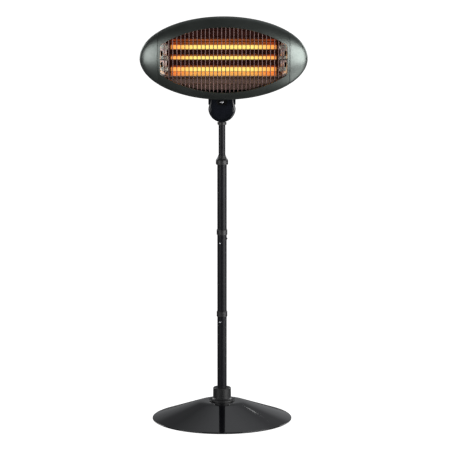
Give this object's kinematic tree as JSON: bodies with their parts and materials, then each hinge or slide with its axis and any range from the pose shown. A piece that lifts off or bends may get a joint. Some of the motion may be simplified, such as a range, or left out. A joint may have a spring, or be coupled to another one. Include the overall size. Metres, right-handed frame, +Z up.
{
  "type": "free-standing electric patio heater",
  "caption": "Free-standing electric quartz patio heater with a domed round base, jointed black pole and tilting elliptical head behind a wire guard.",
  "frame": {"origin": "centre of the base on the floor", "axes": "+Z up along the pole; the head faces -Y; +X to the right of a person who stands in front of it"},
  "size_m": [0.4729, 0.4016, 1.1726],
  "materials": {
    "black_gloss": "gloss black enamel",
    "black_satin": "satin black powder coat",
    "black_plastic": "moulded black, slight sheen",
    "shell_grey": "metallic gunmetal paint",
    "cap_grey": "metallic gunmetal paint",
    "rubber": "matte",
    "ballast": "cast concrete",
    "steel": "zinc plated",
    "chrome_wire": "polished",
    "mirror_sheet": "bright rolled",
    "shield_sheet": "plain rolled",
    "quartz": "clear quartz",
    "glow": "glowing resistance wire",
    "ceramic": "unglazed",
    "lead_sleeve": "woven glass-fibre sleeve"
  },
  "bodies": {
    "stand": {"base_cover": "black_gloss", "base_weight": "ballast", "base_plate": "steel", "base_feet": "rubber", "socket_gasket": "rubber", "pole_socket": "black_plastic", "socket_set_screws": "steel", "socket_stud": "steel", "clamp_washer": "steel", "clamp_nut": "steel", "lower_tube": "black_satin", "middle_tube": "black_satin", "upper_tube": "black_satin", "lower_joint_ring": "black_plastic", "upper_joint_ring": "black_plastic", "lower_spigot": "steel", "upper_spigot": "steel", "joint_screw": "black_plastic", "collar_bush": "black_plastic", "button_springs": "steel"},
    "collar": {"lock_collar": "black_plastic"},
    "button_low": {"lower_button": "black_plastic"},
    "button_high": {"upper_button": "black_plastic"},
    "mast": {"inner_tube": "black_satin", "guide_bush": "black_plastic", "neck_sleeve": "black_plastic", "bracket_body": "black_gloss", "bracket_cover": "black_gloss", "cover_screw": "steel", "tilt_bolt": "steel", "tilt_washers": "steel"},
    "knob": {"tilt_knob": "black_plastic"},
    "rocker_a": {"left_rocker": "black_plastic"},
    "rocker_b": {"right_rocker": "black_plastic"},
    "head": {"bottom_quartz_tube": "quartz", "cable_gland": "black_plastic", "front_bezel": "shell_grey", "guard_screws": "steel", "head_seal": "rubber", "heat_shield": "shield_sheet", "heater_leads": "lead_sleeve", "heating_coils": "glow", "hinge_lug": "black_satin", "left_end_cap": "cap_grey", "left_reflector_end": "mirror_sheet", "lug_screws": "steel", "middle_quartz_tube": "quartz", "rear_shell": "shell_grey", "reflector": "mirror_sheet", "right_end_cap": "cap_grey", "right_reflector_end": "mirror_sheet", "shell_screws": "steel", "switch_housing": "black_plastic", "terminal_block": "ceramic", "tip_over_switch": "black_plastic", "top_quartz_tube": "quartz", "tube_ceramics": "ceramic", "tube_holders": "steel", "wire_guard": "chrome_wire"}
  },
  "joints": [
    {"name": "lock_collar_twist", "type": "hinge", "parent": "stand", "child": "collar", "pos_m": [0, 0, 0.757], "axis": [0, 0, 1], "range_deg": [0, 120]},
    {"name": "lower_button_press", "type": "slide", "parent": "stand", "child": "button_low", "axis": [0.4226, 0.9063, 0], "range_m": [0, 0.002], "stiffness_N_per_m": 900},
    {"name": "upper_button_press", "type": "slide", "parent": "stand", "child": "button_high", "axis": [0.4226, 0.9063, 0], "range_m": [0, 0.002], "stiffness_N_per_m": 900},
    {"name": "mast_slide", "type": "slide", "parent": "stand", "child": "mast", "axis": [0, 0, 1], "range_m": [-0.08, 0.055]},
    {"name": "head_tilt", "type": "hinge", "parent": "mast", "child": "head", "pos_m": [0, 0.016, 0.955], "axis": [1, 0, 0], "range_deg": [-5, 39]},
    {"name": "tilt_knob_turn", "type": "hinge", "parent": "mast", "child": "knob", "pos_m": [0, 0.016, 0.955], "axis": [1, 0, 0], "range_deg": [-180, 0]},
    {"name": "left_rocker_press", "type": "hinge", "parent": "head", "child": "rocker_a", "pos_m": [0.07305, -0.00752, 1.05091], "axis": [1, 0, 0], "range_deg": [0, 14]},
    {"name": "right_rocker_press", "type": "hinge", "parent": "head", "child": "rocker_b", "pos_m": [0.09245, -0.00752, 1.05091], "axis": [1, 0, 0], "range_deg": [0, 14]}
  ]
}
